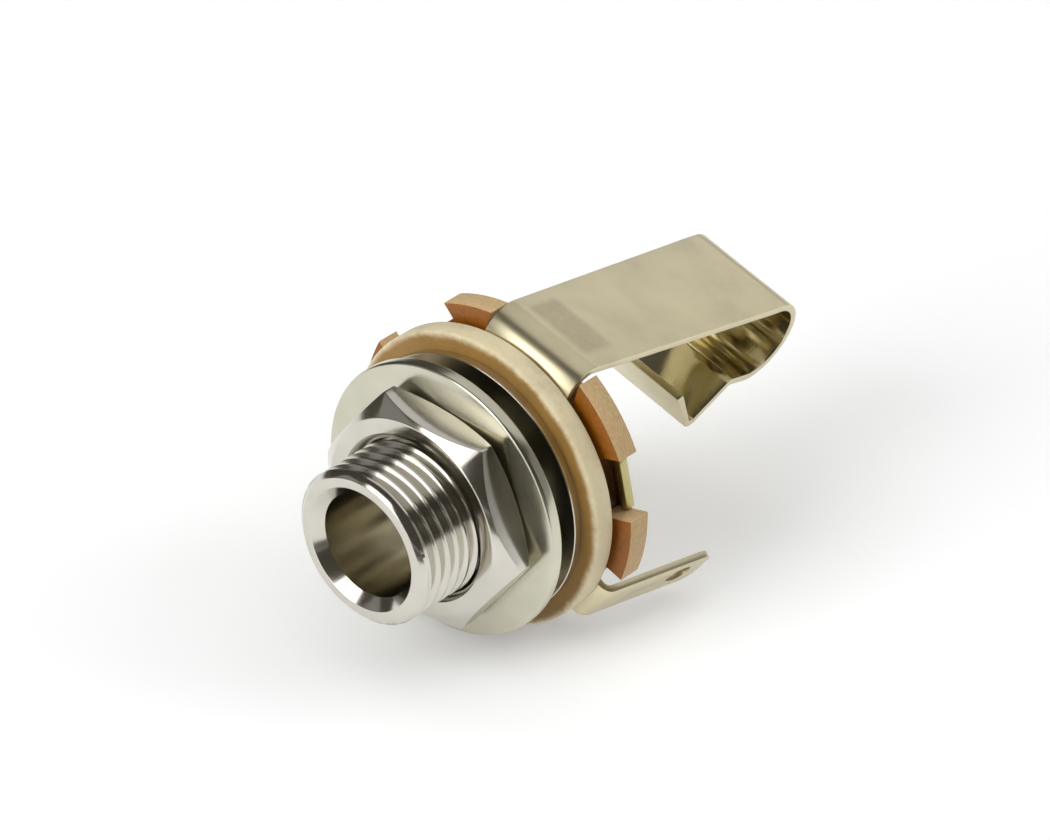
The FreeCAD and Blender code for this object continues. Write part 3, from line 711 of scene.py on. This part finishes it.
class JACK_OT_fibre_ring(Operator):
    """Cream fibre ring behind the flange"""
    bl_idname = "jack.fibre_ring"
    bl_label = "Fibre Ring"

    def execute(self, context):
        sizes = jack(context).insulator
        back_edge, front_edge = 0.15 * MM, 0.24 * MM
        turned_ring([
            (sizes.hole, sizes.ring_front, 0), (sizes.hole, sizes.ring_back, 0),
            (sizes.ring_radius, sizes.ring_back, back_edge),
            (sizes.ring_radius, sizes.ring_front, front_edge),
        ], "fibre_ring_cream", "vulcanised_fibre", "fibre_ring")
        return {"FINISHED"}


def ways(clock):
    """The directions across and out at a clock angle, in the flat blank."""
    return Vector((cos(clock), -sin(clock))), Vector((sin(clock), cos(clock)))


def arc_points(radius, start, width, apart):
    """Points on an arc from a clock angle, about so many degrees apart."""
    steps = max(2, round(degrees(width) / apart))
    return [ways(start + width * step / steps)[1] * radius for step in range(steps + 1)]


def castle_outline(sizes, contact):
    """The castellated washer's rim as (across, up) points in clock order."""
    side = contact.arm_width / 2 + 0.2 * MM
    key = contact.key_width / 2
    spare = 3.375 * MM
    # Notches with a straight floor: for the spring, for the key tab, and a spare one at the upper left
    straight = (
        (contact.arm_clock, side, side, contact.plate - 0.3 * MM),
        (contact.key_clock, key + 0.61 * MM, key + 0.12 * MM, contact.plate - 0.45 * MM),
        (radians(317.9), spare, spare, sizes.root),
    )
    # Notches with a round floor: from the tip lug on, and round the sleeve lug
    curved = (
        (contact.tip_lug_clock - radians(16.5), contact.tip_lug_clock + radians(77.0)),
        (radians(230.0), radians(264.0)),
    )
    gaps = []
    for clock, before, after, height in straight:
        start = clock - asin(before / sizes.blocks)
        end = clock + asin(after / sizes.blocks)
        across, up = ways(clock)
        gaps.append((start, end, [up * height - across * before, up * height + across * after]))
    for start, end in curved:
        gaps.append((start, end, arc_points(sizes.root, start, end - start, 4)))
    gaps.sort(key=lambda gap: gap[0] % tau)
    points = []
    for index, (start, end, floor_points) in enumerate(gaps):
        following = gaps[(index + 1) % len(gaps)][0]
        points += floor_points + arc_points(sizes.blocks, end, (following - end) % tau, 3)
    return points


def blank_mesh(name, outlines, thickness):
    """A flat blank with broken edges, from closed outlines of (across, up) points."""
    broken = 0.05 * MM
    curve = bpy.data.curves.new(name, "CURVE")
    curve.dimensions = "2D"
    curve.fill_mode = "BOTH"
    curve.extrude = thickness / 2 - broken
    curve.bevel_depth = broken
    curve.bevel_resolution = 1
    curve.offset = -broken
    for outline in outlines:
        spline = curve.splines.new("POLY")
        spline.points.add(len(outline) - 1)
        for point, place in zip(spline.points, outline):
            point.co = (place[0], place[1], 0, 1)
        spline.use_cyclic_u = True
    bm = bmesh.new()
    bm.from_mesh(evaluated_mesh(add_object(name, curve)))
    bmesh.ops.remove_doubles(bm, verts=bm.verts, dist=MERGE)
    return bm


def circle_points(radius, count, centre=(0, 0)):
    """Points round a hole, as (across, up)."""
    angles = [tau * index / count for index in range(count)]
    return [Vector((centre[0] + radius * cos(angle), centre[1] + radius * sin(angle))) for angle in angles]


class JACK_OT_castellated_washer(Operator):
    """Notched phenolic washer that insulates and indexes the two contacts"""
    bl_idname = "jack.castellated_washer"
    bl_label = "Castellated Washer"

    def execute(self, context):
        sizes = jack(context).insulator
        hub_edge, floor_edge, flat_face = 0.05 * MM, 0.3 * MM, 0.8
        pressed, cut, floor = 0, 1, 2
        outline = castle_outline(sizes, jack(context).contact)
        bm = blank_mesh("castellated_blank", [outline, circle_points(sizes.hole, HOLE_POINTS)],
                        sizes.castle_back - sizes.castle_front)
        middle = (sizes.castle_back + sizes.castle_front) / 2
        for vert in bm.verts:
            vert.co = Vector((vert.co.x, middle - vert.co.z, vert.co.y))
        hub = soften([(sizes.hole, sizes.ring_back, 0), (sizes.hole, sizes.castle_front, 0),
                      (sizes.hub, sizes.castle_front, 0), (sizes.hub, sizes.ring_back, hub_edge)])
        turn_profile(bm, hub, COLUMNS // 2)

        # Faces turned along the axis take the darker pressed colour, partly painted shade.
        def pick(face):
            if abs(face.normal.y) > flat_face:
                return pressed
            # Painted shade: faces deep in the notches take the dark notch colour.
            return floor if within(face, sizes.root + floor_edge) else cut

        finish_piece(bm, "castellated_washer_notched",
                     ["phenolic_pressed_face", "phenolic_cut_edge", "phenolic_notch_floor"],
                     "castellated_washer", sharp=35.0, pick=pick)
        return {"FINISHED"}


def strip_path(sheet, start, steps):
    """The middle line of a bent strip, as pieces: begin, end, place or centre, heading and radius.

    A step is a leg's length and 0, or a bend's inside radius and signed turn, in millimetres and degrees.
    """
    along, out = start
    heading = pi / 2
    travelled = 0.0
    pieces = []
    for amount, swing in steps:
        if swing:
            radius = copysign(amount * MM + sheet / 2, swing)
            reached = travelled + radius * radians(swing)
            centre = (along - radius * sin(heading), out + radius * cos(heading))
            pieces.append((travelled, reached, centre, heading, radius))
            heading += radians(swing)
            along = centre[0] + radius * sin(heading)
            out = centre[1] - radius * cos(heading)
        else:
            reached = travelled + amount * MM
            pieces.append((travelled, reached, (along, out), heading, 0.0))
            along += amount * MM * cos(heading)
            out += amount * MM * sin(heading)
        travelled = reached
    return pieces


def on_path(pieces, travelled):
    """Place along, place out and heading after a distance along the strip."""
    piece = pieces[-1]
    for candidate in pieces:
        if travelled <= candidate[1]:
            piece = candidate
            break
    begin, end, place, heading, radius = piece
    past = travelled - begin
    if not radius:
        return place[0] + past * cos(heading), place[1] + past * sin(heading), heading
    turned = heading + past / radius
    return place[0] + radius * sin(turned), place[1] - radius * cos(turned), turned


def fold_strip(bm, clock, rise, pieces):
    """Folds the part of a flat blank that lies beyond a height at a clock angle."""
    degrees_each = 5.0
    across_way, out_way = [way.to_3d() for way in ways(clock)]
    cuts = [0.0]
    for begin, end, place, heading, radius in pieces:
        swing = degrees((end - begin) / abs(radius)) if radius else 0
        parts = max(1, ceil(swing / degrees_each))
        cuts += [begin + (end - begin) * part / parts for part in range(1, parts + 1)]
    for cut in cuts[:-1]:
        ahead = [face for face in bm.faces if face.calc_center_median().dot(out_way) > 0]
        edges = {edge for face in ahead for edge in face.edges}
        verts = {vert for face in ahead for vert in face.verts}
        bmesh.ops.bisect_plane(bm, geom=list(verts) + list(edges) + ahead, dist=TINY,
                               plane_co=out_way * (rise + cut), plane_no=out_way)
    folded = {}
    for vert in bm.verts:
        reach = vert.co.dot(out_way) - rise
        if reach > -TINY:
            along, out, heading = on_path(pieces, max(0.0, reach))
            depth = -vert.co.z
            along += depth * sin(heading)
            out -= depth * cos(heading)
            side = vert.co.dot(across_way)
            folded[vert] = Vector((side * cos(clock) + out * sin(clock), along,
                                   out * cos(clock) - side * sin(clock)))
    return folded


# A tab of the flat blank: rise is where it leaves the plate, reach its end, path its line when folded, and
# wide is where it starts and stops to widen and its half width after that
Tab = namedtuple("Tab", "clock half rise corner path reach wide eyelet")


def plan_tab(sheet, middle, clock, half, rise, corner, steps, eyelet_inset=0.0, flare=None):
    """A tab whose flat length follows from its steps.

    A flare is the step over which the tab widens, how much of it does, and the half width after it.
    """
    path = strip_path(sheet, (middle, rise), steps)
    reach = rise + path[-1][1]
    wide = (reach, reach, half)
    if flare:
        widens, stretch, wide_half = flare
        begin = rise + path[widens][0]
        wide = (begin, begin + stretch, wide_half)
    eyelet = reach - eyelet_inset if eyelet_inset else 0.0
    return Tab(clock, half, rise, corner, path, reach, wide, eyelet)


def plate_outline(radius, tabs):
    """The round plate with its straight tabs, as (across, up) points in clock order."""
    corner_steps = 6
    tabs = sorted(tabs, key=lambda tab: tab.clock)
    points = []
    for index, tab in enumerate(tabs):
        across, up = ways(tab.clock)
        shoulder = sqrt(radius ** 2 - tab.half ** 2)
        begin, end, half = tab.wide
        for side in (-1, 1):
            rim = [up * shoulder + across * side * tab.half]
            if half > tab.half:
                rim += [up * begin + across * side * tab.half, up * end + across * side * half]
            centre = up * (tab.reach - tab.corner) + across * side * (half - tab.corner)
            for step in range(corner_steps + 1):
                angle = pi / 2 * step / corner_steps
                rim.append(centre + across * side * tab.corner * cos(angle) + up * tab.corner * sin(angle))
            points += rim if side < 0 else rim[::-1]
        leaves = tab.clock + asin(tab.half / radius)
        following = tabs[(index + 1) % len(tabs)]
        width = (following.clock - asin(following.half / radius) - leaves) % tau
        points += arc_points(radius, leaves, width, 3)[1:-1]
    return points


def folded_contact(name, contact, middle, hole, tabs, materials, node):
    """Cuts one flat blank with all its tabs and holes, then folds every tab."""
    outlines = [plate_outline(contact.plate, tabs), circle_points(hole, HOLE_POINTS)]
    for tab in tabs:
        if tab.eyelet:
            outlines.append(circle_points(contact.eyelet, EYELET_POINTS, ways(tab.clock)[1] * tab.eyelet))
    bm = blank_mesh(name + "_blank", outlines, contact.sheet)
    inner_side = TOUCH - contact.sheet / 2
    for face in bm.faces:
        face.material_index = int(len(materials) > 1 and face.calc_center_median().z < inner_side)
    moved = {}
    for tab in tabs:
        moved.update(fold_strip(bm, tab.clock, tab.rise, tab.path))
    for vert in bm.verts:
        vert.co = moved.get(vert, Vector((vert.co.x, middle - vert.co.z, vert.co.y)))
    return finish_piece(bm, name, materials, node, sharp=35.0)


def solder_lug(contact, middle, clock, rise):
    """A straight lug with a round end and an eyelet, bent back beside the barrel."""
    steps = ((0.45, -80.0), (7.7, 0))
    end_rounding, eyelet_inset = 0.9 * MM, 1.85 * MM
    return plan_tab(contact.sheet, middle, clock, contact.lug_width / 2, rise, end_rounding, steps,
                    eyelet_inset)


class JACK_OT_tip_contact(Operator):
    """Tip contact: plate, spring arm, hairpin, valley, tail and solder lug folded from one sheet"""
    bl_idname = "jack.tip_contact"
    bl_label = "Tip Contact"

    def execute(self, context):
        sizes = jack(context).contact
        hole, lug_rise, spring_corner, widening = 5.75 * MM, 0.8 * MM, 0.25 * MM, 18.05 * MM
        # Bend and arm, hairpin fold and short leg, crease and leg, valley and tail
        steps = ((1.2, -105.2), (19.05, 0), (2.35, -183.7), (1.35, 0),
                 (0.3, 50.8), (2.85, 0), (0.35, -92.3), (3.55, 0))
        tabs = [
            plan_tab(sizes.sheet, sizes.tip_middle, sizes.arm_clock, sizes.arm_width / 2, sizes.plate,
                     spring_corner, steps, flare=(1, widening, sizes.fold_width / 2)),
            solder_lug(sizes, sizes.tip_middle, sizes.tip_lug_clock, sizes.plate + lug_rise),
        ]
        folded_contact("tip_contact_folded", sizes, sizes.tip_middle, hole, tabs,
                       ["rolled_nickel_silver", "burnished_nickel_silver"], "tip_contact")
        return {"FINISHED"}


class JACK_OT_sleeve_terminal(Operator):
    """Sleeve terminal: plate, key tab and solder lug folded from one sheet"""
    bl_idname = "jack.sleeve_terminal"
    bl_label = "Sleeve Terminal"

    def execute(self, context):
        sizes = jack(context).contact
        hole, key_rise, lug_rise, key_corner = 4.45 * MM, 0.05 * MM, 0.4 * MM, 0.2 * MM
        key_steps = ((0.2, 90.0), (0.35, 0))
        tabs = [
            plan_tab(sizes.sheet, sizes.sleeve_middle, sizes.key_clock, sizes.key_width / 2,
                     sizes.plate + key_rise, key_corner, key_steps),
            solder_lug(sizes, sizes.sleeve_middle, sizes.sleeve_lug_clock, sizes.plate + lug_rise),
        ]
        folded_contact("sleeve_terminal_folded", sizes, sizes.sleeve_middle, hole, tabs,
                       ["tinned_brass_sheet"], "sleeve_terminal")
        return {"FINISHED"}


# Studio

def paper_material(name, paper, lift):
    """Matte paper, over-exposed as in the photograph: almost no gloss, with the faintest tooth."""
    tooth_width, tooth_height = 0.5 * MM, 0.02 * MM
    material, add, place = new_material(name)
    tooth = add("ShaderNodeTexNoise", {"Vector": place, "Scale": 1 / tooth_width, "Detail": 2.0})
    bump = add("ShaderNodeBump", {"Height": tooth, "Strength": 0.05, "Distance": tooth_height})
    rays = add("ShaderNodeLightPath").outputs
    seen = add("ShaderNodeMath", {0: rays["Is Camera Ray"], 1: rays["Is Glossy Ray"]}, operation="MAXIMUM")
    glow = add("ShaderNodeMath", {0: seen, 1: lift}, operation="MULTIPLY")
    return surfaced(material, add, {
        "Base Color": paper, "Roughness": 0.9, "Specular IOR Level": 0.1, "Normal": bump,
        "Emission Color": paper, "Emission Strength": glow})


def stage_sheet(name, corners, material):
    """A flat sheet of the stage through its corners."""
    mesh = bpy.data.meshes.new(name)
    mesh.from_pydata(corners, [], [(0, 1, 2, 3)])
    mesh.materials.append(material)
    sheet = add_object(name, mesh)
    sheet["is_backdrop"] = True
    return sheet


class JACK_OT_stage(Operator):
    """White paper floor, soft lamps, world and the camera"""
    bl_idname = "jack.stage"
    bl_label = "Stage"

    def execute(self, context):
        studio = jack(context).studio
        finish = jack(context).finish
        scene = context.scene
        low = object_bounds()[0][2]
        reach = 1.5
        floor = [(across * reach, up * reach, low) for across, up in ((-1, -1), (1, -1), (1, 1), (-1, 1))]
        stage_sheet("paper_floor", floor, paper_material("white_paper", finish.paper, studio.lift))

        # A dark card lies on the paper in front of the jack, for the metal alone to mirror
        ahead, aside = Vector((0.602, -0.799, 0)), Vector((0.799, 0.602, 0))
        near, far, near_half, far_half = 0.046, 0.42, 0.024, 0.2
        above = Vector((0, 0, low + 0.2 * MM))
        card = stage_sheet("dark_card", [
            above + ahead * near - aside * near_half, above + ahead * near + aside * near_half,
            above + ahead * far + aside * far_half, above + ahead * far - aside * far_half],
            paper_material("grey_card", finish.card, 0.0))
        card.visible_camera = card.visible_diffuse = card.visible_shadow = False

        # Each lamp's place, width and height in metres, and radiance. The scrims light what scatters light,
        # and the others are what the metal mirrors.
        lamps = (
            ("front_window", (-0.137, -0.706, 0.351), 0.49, 0.66, studio.window),
            ("front_scrim", (-0.131, -0.675, 0.336), 0.47, 0.63, studio.front),
            ("right_wall", (0.700, 0.800, 0.285), 0.90, 0.60, studio.dim),
            ("left_wall", (-0.826, -0.622, 0.376), 0.50, 0.45, studio.dim),
            ("ceiling", (0.0, 0.42, 0.90), 1.20, 1.35, studio.ceiling),
            ("back_wall", (-0.20, 1.15, 0.36), 1.10, 0.42, studio.wall),
            ("overhead_scrim", (-0.02, 0.02, 0.60), 1.00, 1.00, studio.overhead),
            ("side_scrim", (0.556, 0.484, 0.516), 0.50, 0.50, studio.side),
        )
        middle = Vector((0.001, 0.003, 0))
        for name, place, width, height, radiance in lamps:
            light = bpy.data.lights.new(name, "AREA")
            light.shape = "RECTANGLE"
            light.size = width
            light.size_y = height
            light.energy = radiance * pi * width * height
            lamp = add_object(name, light)
            lamp.location = place
            lamp.rotation_euler = (middle - Vector(place)).to_track_quat("-Z", "Y").to_euler()
            lamp.visible_glossy = "scrim" not in name
            lamp.visible_diffuse = "scrim" in name

        world = bpy.data.worlds.new("studio_world")
        world.use_nodes = True
        world.node_tree.nodes.clear()
        add = partial(add_node, world.node_tree)
        room = add("ShaderNodeBackground", {"Color": finish.room, "Strength": studio.room})
        white = add("ShaderNodeBackground", {"Color": (1, 1, 1, 1), "Strength": 1.0})
        camera_ray = add("ShaderNodeLightPath").outputs["Is Camera Ray"]
        seen = add("ShaderNodeMixShader", {0: camera_ray, 1: room, 2: white})
        add("ShaderNodeOutputWorld", {"Surface": seen}, is_active_output=True)
        scene.world = world
        scene.view_settings.view_transform = "Standard"

        azimuth, elevation = studio.azimuth, studio.elevation
        right = Vector((cos(azimuth), sin(azimuth), 0))
        back = Vector((sin(azimuth) * cos(elevation), -cos(azimuth) * cos(elevation), sin(elevation)))
        up = back.cross(right)
        mouth = Vector((0, jack(context).bushing.mouth, 0))
        place = mouth + right * studio.shift_right + up * studio.shift_up + back * studio.distance
        lens = bpy.data.cameras.new("photo_camera")
        lens.sensor_fit = "HORIZONTAL"
        lens.sensor_width = SENSOR_WIDTH
        lens.lens = SENSOR_WIDTH * LENS_PIXELS / PHOTO_WIDTH
        lens.clip_start = 0.01
        camera = add_object("photo_camera", lens)
        camera.matrix_world = Matrix((
            (right.x, up.x, back.x, place.x), (right.y, up.y, back.y, place.y),
            (right.z, up.z, back.z, place.z), (0, 0, 0, 1)))
        scene.camera = camera
        return {"FINISHED"}


PIECES = (
    JACK_OT_bushing, JACK_OT_nut, JACK_OT_washer, JACK_OT_fibre_ring, JACK_OT_castellated_washer,
    JACK_OT_tip_contact, JACK_OT_sleeve_terminal, JACK_OT_stage,
)


class JACK_PT_panel(Panel):
    """Lists the jack's pieces and sizes in the sidebar"""
    bl_idname = "JACK_PT_panel"
    bl_label = "Output Jack"
    bl_space_type = "VIEW_3D"
    bl_region_type = "UI"
    bl_category = "Output Jack"

    def draw(self, context):
        layout = self.layout
        for operator in PIECES:
            layout.operator(operator.bl_idname)
        for name, group in GROUPS:
            box = layout.box()
            box.label(text=name.title())
            settings = getattr(jack(context), name)
            for prop in group.__annotations__:
                box.prop(settings, prop)


CLASSES = tuple(group for name, group in GROUPS) + (JackSettings,) + PIECES + (JACK_PT_panel,)


def register():
    for item in CLASSES:
        bpy.utils.register_class(item)
    bpy.types.Scene.output_jack = PointerProperty(type=JackSettings)


def unregister():
    del bpy.types.Scene.output_jack
    for item in reversed(CLASSES):
        bpy.utils.unregister_class(item)


def main():
    register()
    bpy.ops.jack.bushing()
    bpy.ops.jack.nut()
    bpy.ops.jack.washer()
    bpy.ops.jack.fibre_ring()
    bpy.ops.jack.castellated_washer()
    bpy.ops.jack.tip_contact()
    bpy.ops.jack.sleeve_terminal()
    bpy.ops.jack.stage()


if __name__ == "__main__":
    main()
